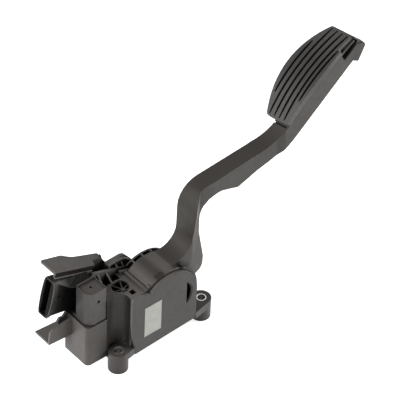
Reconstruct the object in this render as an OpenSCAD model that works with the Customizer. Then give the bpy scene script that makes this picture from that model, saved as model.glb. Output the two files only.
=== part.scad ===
// Electronic accelerator pedal: moulded pedal arm with a grooved rubber pad, hinged in
// a bolted-down housing with its position sensor and plug socket.
// The origin is the bottom centre of the front fixing boss. X runs along the housing
// towards the pad, Y runs away from the label side, and the boss feet stand on z = 0.

/* [Fixing bosses] */
// Outer radius of each fixing boss
boss_r = 8.2; // [7:0.1:9]
// Height of each fixing boss
boss_h = 19.2; // [17:0.1:22]
// Inner radius of the steel sleeve, for an M6 screw
sleeve_bore_r = 3.3; // [3.1:0.05:3.6]
// Outer radius of the steel sleeve
sleeve_r = 4.2; // [4:0.1:5]
// Rear fixing boss, from the front boss along X
rear_boss_x = 90; // [88:1:96]
// Rear fixing boss, from the front boss along Y
rear_boss_y = 4.5; // [2:0.5:7]
// Far fixing boss, from the front boss along X
far_boss_x = 30; // [24:1:36]
// Far fixing boss, from the front boss along Y
far_boss_y = 46; // [44:0.5:50]
// Thickness of the flange that joins a boss to the housing
flange_t = 7; // [5:0.5:8]

/* [Housing] */
// Pivot axis, along X
pivot_x = 46.3; // [45:0.1:48]
// Pivot axis, above the feet
pivot_z = 48.5; // [47:0.1:50]
// Radius of the dome round the pivot
dome_r = 28.6; // [27.5:0.1:31]
// Outer face of the near side cover
cover_y = -6.4; // [-8:0.1:-6]
// Wall thickness of the near side cover
cover_t = 2.6; // [2:0.1:3.2]
// Inner face of the far wall
far_y = 23; // [22:0.1:25]
// Inner face of the far wall beside the deck
bay_y = 27; // [26:0.1:28]
// Outer face of the chamber on the far side
chamber_y = 38; // [36:0.5:40]
// Gap between the two sheets of the far wall
far_gap = 3; // [2.4:0.1:3.6]
// Thickness of each sheet of the far wall
sheet_t = 1.6; // [1.4:0.1:2]
// Wall thickness of the housing
wall_t = 2.4; // [2:0.1:3]
// Top of the deck
deck_z = 72; // [70:0.5:74]
// Underside of the housing at its front end
base_z = 11.5; // [10:0.5:13]
// Left edge of the side cover
cover_x0 = 8.4; // [8:0.1:9]
// Radius of the scoop above the front boss
scoop_r = 8.8; // [8.6:0.1:9.4]

/* [Sensor box, cap and socket] */
// Length of the sensor box along X
box_l = 19.5; // [18:0.5:22]
// Near face of the sensor box
box_y = 6; // [5.5:0.5:8]
// Width of the sensor box along Y
box_w = 30; // [26:0.5:32]
// Top of the sensor box
box_top = 53; // [50:0.5:55]
// Top of the cap tower
tower_top = 87; // [82:0.5:90]
// Width of the cap tower along Y
tower_w = 15.4; // [14:0.2:17]
// Wall thickness of the box and the cap
shell_t = 2; // [1.6:0.1:2.4]
// Height of the plug socket
socket_h = 35; // [32:0.5:37]
// Width of the plug socket
socket_w = 9.6; // [9.2:0.1:11]
// Length of the plug socket from its root to its mouth
socket_l = 24; // [20:0.5:28]
// Upward tilt of the plug socket
socket_tilt = 13; // [8:1:16]
// Wall thickness of the plug socket
socket_t = 1.5; // [1.2:0.1:1.8]
// Width of the sheet guard above the socket
guard_w = 20; // [16:0.5:22]
// Slope of the sheet guard
guard_tilt = 20; // [14:1:24]
// Thickness of the sheet guard
guard_t = 2; // [1.6:0.1:2.4]
// Length of the tray below the socket
tray_l = 23.5; // [16:0.5:26]
// Height of the upright edge of the tray
tray_h = 13; // [10:0.5:15]

/* [Pedal arm] */
// Radius of the drum round the pivot
drum_r = 31; // [30:0.1:32]
// Near face of the drum and of the arm's root
drum_y = -1.4; // [-2:0.1:-1]
// Far side of the arm
arm_far_y = 21.2; // [18:0.2:22]
// Near side of the arm at the pad
arm_near_y = 3.2; // [2:0.1:5]
// Height of the front face of the arm's level run at its root end
run_z = 135.7; // [132:0.1:137]
// Front face of the arm's upright
upright_x = 74.3; // [72:0.1:76]
// Depth of the arm's upright along X
upright_d = 11.2; // [10:0.1:14]
// Wall thickness of the arm
arm_t = 2.8; // [2.2:0.1:3.4]
// Number of cross ribs in the underside of the arm
arm_ribs = 9; // [5:1:12]

/* [Pedal pad] */
// Length of the pad
pad_l = 87; // [78:1:92]
// Width of the pad at its ends
pad_w = 22; // [20:0.5:24]
// How far the pad bulges on its far side
pad_bulge = 10.5; // [7:0.5:12]
// Thickness of the pad at its ends
pad_t = 4.4; // [3.6:0.2:6]
// Rise of the pad's crown above its chord
pad_crown = 6; // [4:0.5:8]
// Angle of the pad above level
pad_angle = 40.9; // [38:0.1:44]
// Start of the pad's chord along X
pad_x = 169.4; // [166:0.1:174]
// Start of the pad's chord above the feet
pad_z = 158; // [156:0.1:162]
// Width of a groove in the pad
groove_w = 2; // [1.2:0.1:2.4]
// Depth of a groove in the pad
groove_d = 2.6; // [1.4:0.1:3]

/* [Pivot, springs and sensor] */
// Radius of the steel pivot pin
pin_r = 4; // [3.5:0.1:4.5]
// Radial running clearance of the bushes on the pin
run_gap = 0.04; // [0.02:0.01:0.08]
// Wall of the plain bushes
bush_t = 1.2; // [1:0.1:1.6]
// Outer radius of the arm's hub
hub_r = 9; // [8.5:0.1:10]
// Wire radius of the outer return spring
spring_wire_r = 1.1; // [0.9:0.05:1.3]
// Wire radius of the inner return spring
inner_wire_r = 0.9; // [0.7:0.05:1]
// Turns of each return spring
spring_turns = 4; // [3:1:5]
// Thickness of the sensor's track board
board_t = 1; // [0.8:0.1:1.2]
// Number of terminals in the socket
pins = 6; // [4:1:6]

/* [Hidden] */
$fn = 48;
eps = 0.01;

// Places that follow from the sizes above
cover_x1 = pivot_x + dome_r;
cover_in = cover_y + cover_t;
far_out = far_y + 2 * sheet_t + far_gap;
base_rise = 0.04;
body_x0 = -6.8;
drum_gap = 1.2;
part_gap = 0.2;
seat_gap = 0.02;
box_x1 = body_x0 - part_gap;
box_x0 = box_x1 - box_l;
box_z0 = base_z + 0.6;
box_y1 = box_y + box_w;
seal_t = 0.8;
cap_z0 = box_top + seal_t + 2 * seat_gap;
cap_y1 = box_y + 0.8 + tower_w;
sleeve_h = boss_h;

// Drum, hub and what runs on the pin
rim_t = 2.6;
rim_y0 = cover_in + 0.5;
web_y = 14;
web_t = 2.4;
carrier_t = 2;
hub_y0 = drum_y + carrier_t + 0.1;
ring_t = 1.4;
far_seat_t = 1.8;
ring_y0 = far_y - far_seat_t - 0.1 - ring_t;
hub_y1 = ring_y0 - 0.1;
drum_y1 = far_y - 0.5;
bush_in_r = pin_r + run_gap;
bush_out_r = bush_in_r + bush_t;
bush_l = 8;
near_seat_t = 1;
pin_y0 = cover_y + 1;
pin_y1 = far_out + 3;
clip_t = 1;
clip_y = far_out + 0.1;
groove_r = pin_r - 0.5;

// Stops: a nose on the drum runs between two rubber buffers
travel = 16;
nose_y0 = 13;
nose_w = 7;
nose_out = drum_r + 6.5;
nose_low = -8.5;
nose_tip_t = 3;
buffer_r = 2.8;
buffer_h = 5.6;
buffer_x = pivot_x - nose_out + 2.7;
buffer_gap = 0.3;
ledge_t = 3;

// Point p about the pivot after the pedal is pressed by angle a
function pressed(p, a) = [p[0] * cos(a) + p[1] * sin(a), p[1] * cos(a) - p[0] * sin(a)];
function unit(v) = v / norm(v);

// One corner b of an outline of [x, y, fillet radius], between corners a and c
function corner(a, b, c, n) =
    let (p = [b[0], b[1]], u = unit([a[0], a[1]] - p), w = unit([c[0], c[1]] - p))
    let (half = acos(max(-1, min(1, u * w))) / 2)
    b[2] == 0 || half > 89.9 ? [p] :
    let (o = p + unit(u + w) * b[2] / sin(half), t = b[2] / tan(half))
    let (s = p + u * t - o, e = p + w * t - o, a0 = atan2(s[1], s[0]))
    let (turn = atan2(s[0] * e[1] - s[1] * e[0], s * e))
    [for (i = [0:n]) o + b[2] * [cos(a0 + turn * i / n), sin(a0 + turn * i / n)]];
function rounded(v, n = 6) =
    [for (i = [0:len(v) - 1]) each corner(v[(i + len(v) - 1) % len(v)], v[i], v[(i + 1) % len(v)], n)];

// A flat outline in X and Z, as a plate from y0 to y1
module across(y0, y1) {
    translate([0, y1, 0]) rotate([90, 0, 0]) linear_extrude(y1 - y0) children();
}
// A flat outline in X and Y, as a block from z0 to z1
module upward(z0, z1) {
    translate([0, 0, z0]) linear_extrude(z1 - z0) children();
}
// A cylinder along Y about the pivot
module about_pivot(r, y0, y1) {
    translate([pivot_x, y0, pivot_z]) rotate([-90, 0, 0]) cylinder(r = r, h = y1 - y0);
}
module pivot_ring(r_in, r_out, y0, y1) {
    difference() {
        about_pivot(r_out, y0, y1);
        about_pivot(r_in, y0 - 1, y1 + 1);
    }
}
// A box by its two corners
module block(a, b) {
    translate(a) cube(b - a);
}
function base_at(x) = base_z + base_rise * (x - cover_x0);

// Fixing bosses and their sleeves
module boss(x, y) {
    translate([x, y, 0]) cylinder(r = boss_r, h = boss_h);
}
module boss_bore(x, y) {
    translate([x, y, -1]) cylinder(r = sleeve_r + seat_gap, h = boss_h + 2);
}
module sleeve(x, y) {
    color("silver") translate([x, y, 0]) difference() {
        cylinder(r = sleeve_r, h = sleeve_h);
        translate([0, 0, -1]) cylinder(r = sleeve_bore_r, h = sleeve_h + 2);
    }
}
module sleeve_front() { sleeve(0, 0); }
module sleeve_rear() { sleeve(rear_boss_x, rear_boss_y); }
module sleeve_far() { sleeve(far_boss_x, far_boss_y); }

// Housing
// Outline of the far wall, which rises towards the front end
far_wall_rise = 13.5;
module far_outline() {
    polygon(rounded([
        [body_x0, base_at(body_x0), 1], [cover_x1, base_at(cover_x1), 4], [cover_x1, pivot_z, 0],
        [pivot_x, pivot_z, 0], [pivot_x - 16, deck_z, 0], [body_x0, deck_z + far_wall_rise, 2]]));
    translate([pivot_x, pivot_z]) circle(r = dome_r);
}
// Two sheets with a ribbed channel between them round the dome
rim_depth = 4.5;
rim_ribs = 9;
bay_x1 = 19;
module far_wall() {
    difference() {
        across(far_y, far_y + sheet_t) far_outline();
        block([body_x0 - 1, far_y - 1, deck_z - bay_deep], [bay_x1, bay_y, deck_z + 2 * far_wall_rise]);
    }
    intersection() {
        across(bay_y, far_out) far_outline();
        block([body_x0 - 1, far_y, base_z], [bay_x1, far_out, deck_z + 2 * far_wall_rise]);
    }
    block([bay_x1 - sheet_t, far_y, deck_z - bay_deep], [bay_x1, bay_y + 0.5, deck_z]);
    across(far_out - sheet_t, far_out) far_outline();
    across(far_y, far_out) difference() {
        polygon([[body_x0, base_at(body_x0)], [cover_x1, base_at(cover_x1)], [cover_x1, pivot_z],
            [pivot_x, pivot_z], [pivot_x - 18, deck_z - bay_deep], [body_x0, deck_z - bay_deep]]);
        translate([pivot_x, pivot_z]) circle(r = dome_r + 1);
    }
    about_pivot(dome_r - rim_depth, far_y, far_out);
    for (i = [0:rim_ribs - 1])
        translate([pivot_x, 0, pivot_z]) rotate([0, -i * 150 / (rim_ribs - 1), 0])
            block([dome_r - rim_depth - 1, far_y, -0.7], [dome_r, far_out, 0.7]);
    about_pivot(hub_r - 1, far_y - far_seat_t, far_y);
}
// The chamber behind the far wall, open below, and the ribbed hood on it
chamber_x1 = 38;
chamber_top = 62;
chamber_step = 10;
hood_y = 32.2;
hood_w = 2.8;
hood_t = 1.4;
hood_top = 81.6;
hood_ribs = 4;
module chamber_outline(inset) {
    polygon([[body_x0 + inset, base_z - 0.5 - inset], [chamber_x1 - inset, base_z - 0.5 - inset],
        [chamber_x1 - inset, chamber_top - inset], [14 - inset, chamber_top - inset],
        [14 - inset, chamber_top + chamber_step - inset], [body_x0 + inset, chamber_top + chamber_step - inset]]);
}
module far_chamber() {
    difference() {
        across(far_out - 0.5, chamber_y) chamber_outline(0);
        across(far_out - 1, chamber_y - wall_t) chamber_outline(wall_t);
    }
    across(hood_y, hood_y + hood_w) polygon(rounded([
        [13, chamber_top - 1, 0], [13, hood_top - 0.6, 2], [30.5, hood_top, 8], [42, 67, 5],
        [chamber_x1, chamber_top - 1, 0]]));
    for (i = [0:hood_ribs - 1]) {
        x = 14 + i * 6.6;
        top = hood_top - 1.5 - 0.024 * (x - 14) * (x - 14);
        translate([x, 0, 0]) rotate([90, 0, 90]) linear_extrude(hood_t) polygon([
            [far_out - 0.5, chamber_top - 1], [hood_y + 0.5, chamber_top - 1],
            [hood_y + 0.5, top], [far_out - 0.5, top - 4]]);
    }
}
// The deck in front of the drum, with its pockets and ribs
fan_x = 11.4;
fan_y = 13.1;
fan_r = 7;
fan_blades = 7;
pocket_y0 = 20.5;
pocket_rib_t = 1.6;
bay_deep = 12;
ridge_out = 23.4;
ridge_h = 1.3;
module deck() {
    difference() {
        block([body_x0, cover_in, deck_z - wall_t], [pivot_x - 20, bay_y + 0.5, deck_z]);
        block([body_x0 + wall_t, pocket_y0, deck_z - wall_t - 1], [bay_x1 - sheet_t, bay_y, deck_z + 1]);
        block([bay_x1, far_y, deck_z - wall_t - 1], [pivot_x, bay_y + 1, deck_z + 1]);
        translate([fan_x, fan_y, deck_z - wall_t - 1]) cylinder(r = fan_r, h = wall_t + 2);
        block([13, 0, deck_z - wall_t - 1], [17.5, 4.6, deck_z + 1]);
    }
    block([body_x0, pocket_y0 - 1.6, deck_z - bay_deep], [bay_x1, pocket_y0, deck_z]);
    block([pivot_x - ridge_out, cover_in, deck_z - 1], [pivot_x - 20, far_y + 0.5, deck_z + ridge_h]);
    block([pivot_x - 20.6, cover_in, deck_z - 1], [pivot_x - 18, cover_in + 3, deck_z + 3]);
    for (x = [-0.5, 8]) {
        top = deck_z + far_wall_rise * (pivot_x - 16 - x) / (pivot_x - 16 - body_x0) - 1.5;
        translate([x, 0, 0]) rotate([90, 0, 90]) linear_extrude(pocket_rib_t)
            polygon([[pocket_y0 - 1, deck_z - bay_deep], [bay_y + 0.5, deck_z - bay_deep],
                [bay_y + 0.5, top], [pocket_y0 - 1, deck_z]]);
    }
    translate([fan_x, fan_y, deck_z - wall_t - 2]) {
        difference() {
            cylinder(r = fan_r + 1, h = wall_t + 2);
            translate([0, 0, -1]) cylinder(r = fan_r, h = wall_t + 4);
        }
        translate([0, -3, 0]) cylinder(r = 1.8, h = wall_t + 1.6);
        intersection() {
            cylinder(r = fan_r + 0.5, h = wall_t + 1.4);
            for (i = [0:fan_blades - 1])
                translate([0, -3, 0]) rotate([0, 0, i * 360 / fan_blades + 12])
                    translate([0, -0.5, 0]) cube([2 * fan_r, 1, wall_t + 1.4]);
        }
    }
}
// Plan of the body at the front end, where the scoop stands over the front boss
module scoop_wall() {
    difference() {
        intersection() {
            cylinder(r = scoop_r + wall_t, h = deck_z);
            block([body_x0, cover_in, base_z], [14, 14, deck_z]);
        }
        translate([0, 0, -1]) cylinder(r = scoop_r, h = deck_z + 2);
    }
}
module front_flange() {
    upward(boss_h - flange_t, boss_h) polygon([
        [0, -boss_r], [cover_x0 + 3, cover_y], [cover_x0 + 3, boss_r], [0, boss_r]]);
}
module rear_flange() {
    upward(boss_h - flange_t, boss_h) polygon([
        [cover_x1 - wall_t, cover_in], [cover_x1 + part_gap, cover_in], [cover_x1 + part_gap, cover_y],
        [rear_boss_x + 0.5, rear_boss_y - boss_r], [rear_boss_x + 0.5, rear_boss_y + boss_r],
        [cover_x1 - wall_t, rear_boss_y + boss_r + 5]]);
}
module far_flange() {
    upward(boss_h - flange_t, boss_h) polygon([
        [far_boss_x - boss_r, far_boss_y], [far_boss_x - boss_r - 5, chamber_y - 1],
        [chamber_x1, chamber_y - 1], [far_boss_x + boss_r, far_boss_y]]);
    for (x = [far_boss_x - boss_r - 3, chamber_x1 - wall_t])
        translate([x, 0, 0]) rotate([90, 0, 90]) linear_extrude(2)
            polygon([[chamber_y - 1, boss_h - 1], [far_boss_y - 4, boss_h - 1], [chamber_y - 1, boss_h + 18]]);
}
lower_ledge_z = pivot_z + nose_low - buffer_gap - buffer_h - ledge_t;
nose_top_tip = pressed([-nose_out, nose_low + nose_tip_t], travel);
upper_ledge_z = pivot_z + nose_top_tip[1] + buffer_gap + buffer_h;
module ledges() {
    for (z = [lower_ledge_z, upper_ledge_z])
        block([body_x0 + 1, nose_y0 - 2, z], [buffer_x + buffer_r + 1, nose_y0 + nose_w + 2, z + ledge_t]);
    block([body_x0 + 1, nose_y0 - 2, lower_ledge_z - 6], [body_x0 + 8, nose_y0, upper_ledge_z + 6]);
}
module shell_walls() {
    across(cover_in, far_y + 0.5) polygon([
        [body_x0, base_at(body_x0)], [cover_x1, base_at(cover_x1)],
        [cover_x1, base_at(cover_x1) + wall_t], [body_x0, base_at(body_x0) + wall_t]]);
    block([body_x0, box_y, base_z], [body_x0 + wall_t, far_y + 0.5, deck_z]);
    block([cover_x1 - wall_t, cover_in, base_z + 3], [cover_x1, far_y + 0.5, 29]);
    scoop_wall();
    deck();
}
module housing() {
    color("dimgray") difference() {
        union() {
            shell_walls();
            far_wall();
            far_chamber();
            boss(0, 0);
            boss(rear_boss_x, rear_boss_y);
            boss(far_boss_x, far_boss_y);
            front_flange();
            rear_flange();
            far_flange();
            ledges();
        }
        for (p = [[0, 0], [rear_boss_x, rear_boss_y], [far_boss_x, far_boss_y]])
            boss_bore(p[0], p[1]);
        translate([0, 0, boss_h]) cylinder(r = scoop_r, h = deck_z);
        about_pivot(drum_r + drum_gap, cover_in - 1, far_y);
        about_pivot(pin_r + seat_gap, far_y - 4, far_out + 1);
        block([cover_x0 - 1, cover_y - 1, base_z - 2], [cover_x1 + part_gap - eps, cover_in, boss_h - flange_t]);
    }
    color("dimgray") difference() {
        about_pivot(hub_r - 1, far_y - far_seat_t, far_y);
        about_pivot(pin_r + seat_gap, far_y - 4, far_out + 1);
    }
}

// Near side cover with the dome, its slot and the seat of the pin
slot_x = 64.5;
slot_z = 48;
slot_h = 21;
slot_r = 16;
slot_w = 4.4;
module cover_outline() {
    polygon(rounded([
        [cover_x0 + 3.4, base_at(cover_x0), 1], [cover_x1, base_at(cover_x1), 4], [cover_x1, pivot_z, 0],
        [pivot_x, pivot_z, 0], [pivot_x - 20.7, deck_z - 2, 0], [pivot_x - 30, deck_z + 0.2, 4],
        [cover_x0, deck_z + 1, 2], [cover_x0, boss_h + 26, 8], [cover_x0 + 1.4, boss_h + 10, 8],
        [cover_x0 + 3.4, boss_h + 1, 1]]));
    translate([pivot_x, pivot_z]) circle(r = dome_r);
}
module d_slot(grow) {
    intersection() {
        translate([slot_x - grow, slot_z - slot_h / 2 - grow])
            square([slot_w + 2 * grow, slot_h + 2 * grow]);
        translate([slot_x + slot_w - slot_r, slot_z]) circle(r = slot_r + grow);
    }
}
module side_cover() {
    color("dimgray") difference() {
        union() {
            across(cover_y, cover_in) cover_outline();
            about_pivot(hub_r - 2, cover_in - eps, cover_in + near_seat_t);
        }
        about_pivot(pin_r + seat_gap, pin_y0, cover_in + 5);
        across(cover_y - 1, cover_in + 1) d_slot(0);
        across(cover_y - 1, cover_y + 0.5) translate([0.4, 0]) d_slot(0.9);
    }
}
label_w = 17;
label_h = 31.2;
label_x = 21.1;
label_z = 25.3;
label_t = 0.15;
module label_plate() {
    color("lightgray") block([label_x, cover_y - label_t, label_z],
        [label_x + label_w, cover_y, label_z + label_h]);
}

// Sensor box with its tray, the cap with tower and socket, and the guard
tray_y = 25;
tray_w = 17.6;
tray_z = 33.8;
tray_t = 1.8;
tray_tilt = 5;
module box_outline(inset) {
    polygon(rounded([
        [box_x0 + inset, box_y + inset, 4 - inset], [box_x1 - inset, box_y + inset, 0],
        [box_x1 - inset, box_y1 - inset, 0], [box_x0 + inset, box_y1 - inset, 3 - inset]]));
}
module tray() {
    translate([box_x0 + 0.5, tray_y, tray_z]) rotate([0, tray_tilt, 0]) {
        block([-tray_l, 0, 0], [0.4, tray_w, tray_t]);
        across(0, tray_t) polygon([[-tray_l, 0], [0.4, 0], [0.4, box_top - tray_z - 1.5],
            [-5.5, box_top - tray_z - 2], [-tray_l + 3, tray_h + 1.2], [-tray_l + 0.5, tray_h - 1]]);
    }
}
module sensor_box() {
    color("dimgray") {
        difference() {
            upward(box_z0, box_top) box_outline(0);
            block([box_x0 + shell_t, box_y + shell_t, box_z0 + shell_t],
                [box_x1 + 1, box_y1 - shell_t, box_top - shell_t]);
            block([box_x0 + 8, box_y + 6, box_top - shell_t - 1], [box_x1 - 4, box_y1 - 6, box_top + 1]);
        }
        tray();
    }
}
module cap_outline(inset) {
    polygon(rounded([
        [box_x0 + 1 + inset, box_y + 0.8 + inset, 7 - inset], [box_x1 - inset, box_y + 0.8 + inset, 0.8],
        [box_x1 - inset, box_y1 - 0.6 - inset, 0], [box_x0 + 2 + inset, box_y1 - 0.6 - inset, 2]]));
}
module cap_seal() {
    color("black") difference() {
        upward(box_top + seat_gap, box_top + seat_gap + seal_t) cap_outline(0.5);
        upward(box_top - 1, box_top + 3) cap_outline(2.4);
    }
}
socket_root = [-22.4, 33.8, 73.8];
socket_depth = 17;
module in_socket() {
    translate(socket_root) rotate([0, socket_tilt, 0]) children();
}
// An outline in Y and Z, drawn out from x0 to x1 along the socket
module along_socket(x0, x1) {
    translate([x0, 0, 0]) rotate([90, 0, 90]) linear_extrude(x1 - x0) children();
}
module socket_outline(inset) {
    w = socket_w / 2 - inset;
    h = socket_h / 2 - inset;
    polygon(rounded([[-w, -h, 1.6], [w, -h, 1.6], [w, h, 2.6], [-w, h, 1.6]], 3));
}
pin_w = 0.64;
pin_pitch = 4.8;
module pin_row(grow, a, b) {
    for (i = [0:pins - 1])
        translate([0, 0, (i - (pins - 1) / 2) * pin_pitch])
            block([-b, -pin_w / 2 - grow, -pin_w / 2 - grow], [-a, pin_w / 2 + grow, pin_w / 2 + grow]);
}
roof_t = 1.2;
rear_roof_z = tower_top - 3;
neck_x = -17;
neck_l = 6.5;
flange_h = 2.2;
module sensor_cap() {
    color("dimgray") {
        difference() {
            union() {
                upward(cap_z0, tower_top) intersection() {
                    cap_outline(0);
                    translate([box_x0, box_y]) square([box_l, cap_y1 - box_y]);
                }
                upward(cap_z0, tower_top + 1.5) intersection() {
                    cap_outline(0);
                    translate([box_x0, cap_y1 - roof_t]) square([box_l, roof_t]);
                }
                upward(cap_z0, rear_roof_z) intersection() {
                    cap_outline(0);
                    translate([neck_x, cap_y1]) square([box_l, box_y1]);
                }
                upward(cap_z0, cap_z0 + flange_h) cap_outline(0);
                in_socket() {
                    along_socket(-socket_l, 0) socket_outline(0);
                    block([-1, -socket_w / 2, -socket_h / 2], [neck_l, socket_w / 2, socket_h / 2 - 1.2]);
                }
            }
            upward(cap_z0 - 1, tower_top - roof_t - 0.8) intersection() {
                cap_outline(shell_t);
                translate([box_x0, box_y]) square([box_l, cap_y1 - shell_t - box_y]);
            }
            upward(cap_z0 - 1, rear_roof_z - roof_t) intersection() {
                cap_outline(shell_t);
                translate([neck_x + shell_t, cap_y1 - shell_t - 1]) square([box_l, box_w]);
            }
            upward(tower_top - 0.8, tower_top + 5) intersection() {
                cap_outline(0.9);
                translate([box_x0, box_y]) square([box_l, cap_y1 - roof_t - box_y]);
            }
            in_socket() {
                along_socket(-socket_l - 1, -socket_l + socket_depth) socket_outline(socket_t);
                pin_row(seat_gap, 0, socket_l);
            }
            translate([-16.1, 15.4, tower_top - 4]) cylinder(r = 1, h = 5);
            block([-16.2, box_y - 1, 75], [-13.8, box_y + 4, 77.4]);
        }
        in_socket() translate([-14, -socket_w / 2, 0]) rotate([90, 0, 0]) cylinder(r = 1.3, h = 0.9);
    }
}
module terminals() {
    color("gold") in_socket() pin_row(0, 1, socket_l - socket_depth + 6.5);
}
guard_x = -3.1;
guard_y = 30;
guard_z = socket_root[2] + socket_h / 2 * cos(socket_tilt) - 0.85;
guard_l = 37.6;
guard_lip = 4;
guard_foot = 17.3;
foot_t = 2.2;
foot_x1 = 12;
foot_x2 = 20;
module upper_guard() {
    color("dimgray") {
        difference() {
            across(chamber_y + seat_gap, chamber_y + seat_gap + foot_t) polygon(rounded([
                [1, deck_z - 12, 2], [foot_x2, deck_z - 12, 2], [foot_x2, deck_z - 4, 2], [foot_x1, deck_z + 4, 9],
                [foot_x1 + 1, guard_z, 0], [1, guard_z, 0]]));
            translate([guard_x, 0, guard_z]) rotate([0, guard_tilt, 0])
                block([-guard_l, 0, -0.5 * guard_t], [2 * guard_l, 2 * chamber_y, guard_l]);
        }
        translate([guard_x, guard_y, guard_z]) rotate([0, guard_tilt, 0]) {
            upward(-guard_t, 0) polygon(rounded([
                [-guard_l, 0, 0], [3, 0, 2], [6, 7, 1], [guard_foot, 8, 1.5], [guard_foot, guard_w - 6, 1.5],
                [-9, guard_w - 4.6, 16], [-16.3, guard_w, 4], [-guard_l, guard_w - 1, 1]]));
            block([-guard_l, 0, -guard_lip], [1, guard_t, 0]);
        }
    }
}

// Pedal arm: side profile, plan and root drum
root_z = pivot_z + drum_r - 0.05;
root_low = pivot_z + 4;
function pad_at(along, up) = [pad_x + along * cos(pad_angle) - up * sin(pad_angle),
    pad_z + along * sin(pad_angle) + up * cos(pad_angle)];
function with_r(p, r) = [p[0], p[1], r];
arm_end = pad_l + 0.8;
arm_depth = 20.3;
crown_r = ((pad_l / 2) * (pad_l / 2) + pad_crown * pad_crown) / (2 * pad_crown);
crown_top = 2 * pad_crown;
knee_along = -18.7;
front_path = [
    [pivot_x - 2, root_z, 0], [upright_x, root_z, 17], [upright_x + 0.5, run_z, 21],
    with_r(pad_at(knee_along, -pad_t), 40), with_r(pad_at(-2, -pad_t), 12),
    with_r(pad_at(pad_l / 2, crown_top - pad_t), crown_r - pad_t), with_r(pad_at(arm_end, -pad_t), 0)];
upright_back = upright_x + upright_d;
lobe = 6;
kink_x = 125;
kink_z = 118;
under_path = [
    with_r(pad_at(arm_end, -arm_depth), 3), with_r(pad_at(knee_along + 2.4, -arm_depth), 75),
    [kink_x, kink_z, 2], [kink_x - 18, kink_z + 6.2, 14], [upright_back, kink_z + 5.8, 18],
    [upright_back, root_low + 40, 16], [upright_back + lobe, root_low + 11, 10],
    [upright_back + lobe - 0.5, root_low - 0.5, 5], [pivot_x + 24, root_low, 0]];
corner_y = drum_y - 1;
run_y = drum_y + 8;
near_plan = [
    [0, corner_y], [upright_x, corner_y], [upright_back, run_y], [upright_back + 14, run_y - 1],
    [145, arm_near_y + 3.4], [164, arm_near_y + 2.2], [pad_x + 1, arm_near_y], [300, arm_near_y]];
under_pad_y = 18;
module arm_plan(inset) {
    polygon(concat([for (p = near_plan) [p[0], p[1] + inset]],
        [[300, under_pad_y - inset], [pad_x - 1, under_pad_y - inset], [150, arm_far_y - inset],
            [0, arm_far_y - inset]]));
}
// Below this height the near corner of the upright falls back and turns into the root's lobe
facet_z = 118;
facet_z2 = 95;
root_near = 1.2;
module facet_slab(z, a, b) {
    upward(z, z + 0.1) polygon([a, b, [b[0] + 40, b[1]], [b[0] + 40, -30], [a[0], -30]]);
}
module root_facets() {
    rotate([90, 0, 90]) linear_extrude(2 * pivot_x) polygon([
        [-30, facet_z], [corner_y, facet_z], [root_near, facet_z2], [root_near, 0], [-30, 0]]);
    hull() {
        facet_slab(facet_z - 0.1, [upright_x, corner_y], [upright_back, run_y]);
        facet_slab(facet_z2, [upright_x + 0.5, root_near], [upright_back + 0.6, run_y]);
    }
    hull() {
        facet_slab(facet_z2, [upright_x + 0.5, root_near], [upright_back + 0.6, run_y]);
        facet_slab(root_low + 11, [upright_x + 1, root_near], [upright_back + lobe, run_y]);
    }
    hull() {
        facet_slab(root_low + 11, [upright_x + 1, root_near], [upright_back + lobe, run_y]);
        facet_slab(0, [upright_x + 1, root_near], [upright_back + lobe, run_y]);
    }
}
// An open path moved sideways by d, to the right of its direction
function moved(v, d) = [for (i = [0:len(v) - 1])
    let (p = [v[i][0], v[i][1]])
    let (a = i > 0 ? unit(p - [v[i - 1][0], v[i - 1][1]]) : undef)
    let (b = i < len(v) - 1 ? unit([v[i + 1][0], v[i + 1][1]] - p) : undef)
    let (u = is_undef(a) ? b : a, w = is_undef(b) ? a : b)
    let (m = unit([u[1] + w[1], -u[0] - w[0]]), k = d / (m * [u[1], -u[0]]))
    let (left = u[0] * w[1] - u[1] * w[0] > 0)
    [p[0] + m[0] * k, p[1] + m[1] * k, v[i][2] == 0 ? 0 : max(1, v[i][2] + (left ? d : -d))]];
// The hollow under the arm, open below, with cross ribs left standing in it
pocket_z = 84;
module arm_hollow() {
    inner = moved(front_path, arm_t);
    lower_end = arm_end - arm_t;
    intersection() {
        across(drum_y, arm_far_y) polygon(rounded(concat(
            [[upright_back + 20, pocket_z, 0], [upright_x + arm_t, pocket_z, 0]],
            [for (i = [2:len(inner) - 2]) inner[i]],
            [with_r(pad_at(lower_end, -pad_t - arm_t), 0), with_r(pad_at(lower_end, -arm_depth - 6), 0),
                with_r(pad_at(0, -arm_depth - 20), 0), [kink_x, kink_z - 20, 0]])));
        upward(0, 300) arm_plan(arm_t);
    }
}
module arm_rib_set() {
    for (i = [0:arm_ribs - 1]) {
        along = 4 + (arm_end - 10) * i / (arm_ribs - 1);
        p = pad_at(along, -arm_depth);
        translate([p[0], 0, p[1]]) rotate([0, -pad_angle, 0])
            block([-0.8, drum_y, -4], [0.8, arm_far_y, arm_depth + 8]);
    }
    for (i = [0:4])
        translate([upright_back + 11 + i * 15, 0, kink_z - 8])
            block([-0.8, drum_y, 0], [0.8, arm_far_y, 2 * arm_depth]);
    for (z = [90, 101, 112])
        block([upright_x, drum_y, z], [upright_back + 4, arm_far_y, z + 1.6]);
}
module arm_body() {
    difference() {
        intersection() {
            across(corner_y, arm_far_y) polygon(rounded(concat(front_path, under_path)));
            union() {
                upward(facet_z - 0.05, 300) arm_plan(0);
                block([0, corner_y, 0], [pad_x, arm_far_y, facet_z]);
            }
        }
        root_facets();
    }
}
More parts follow.
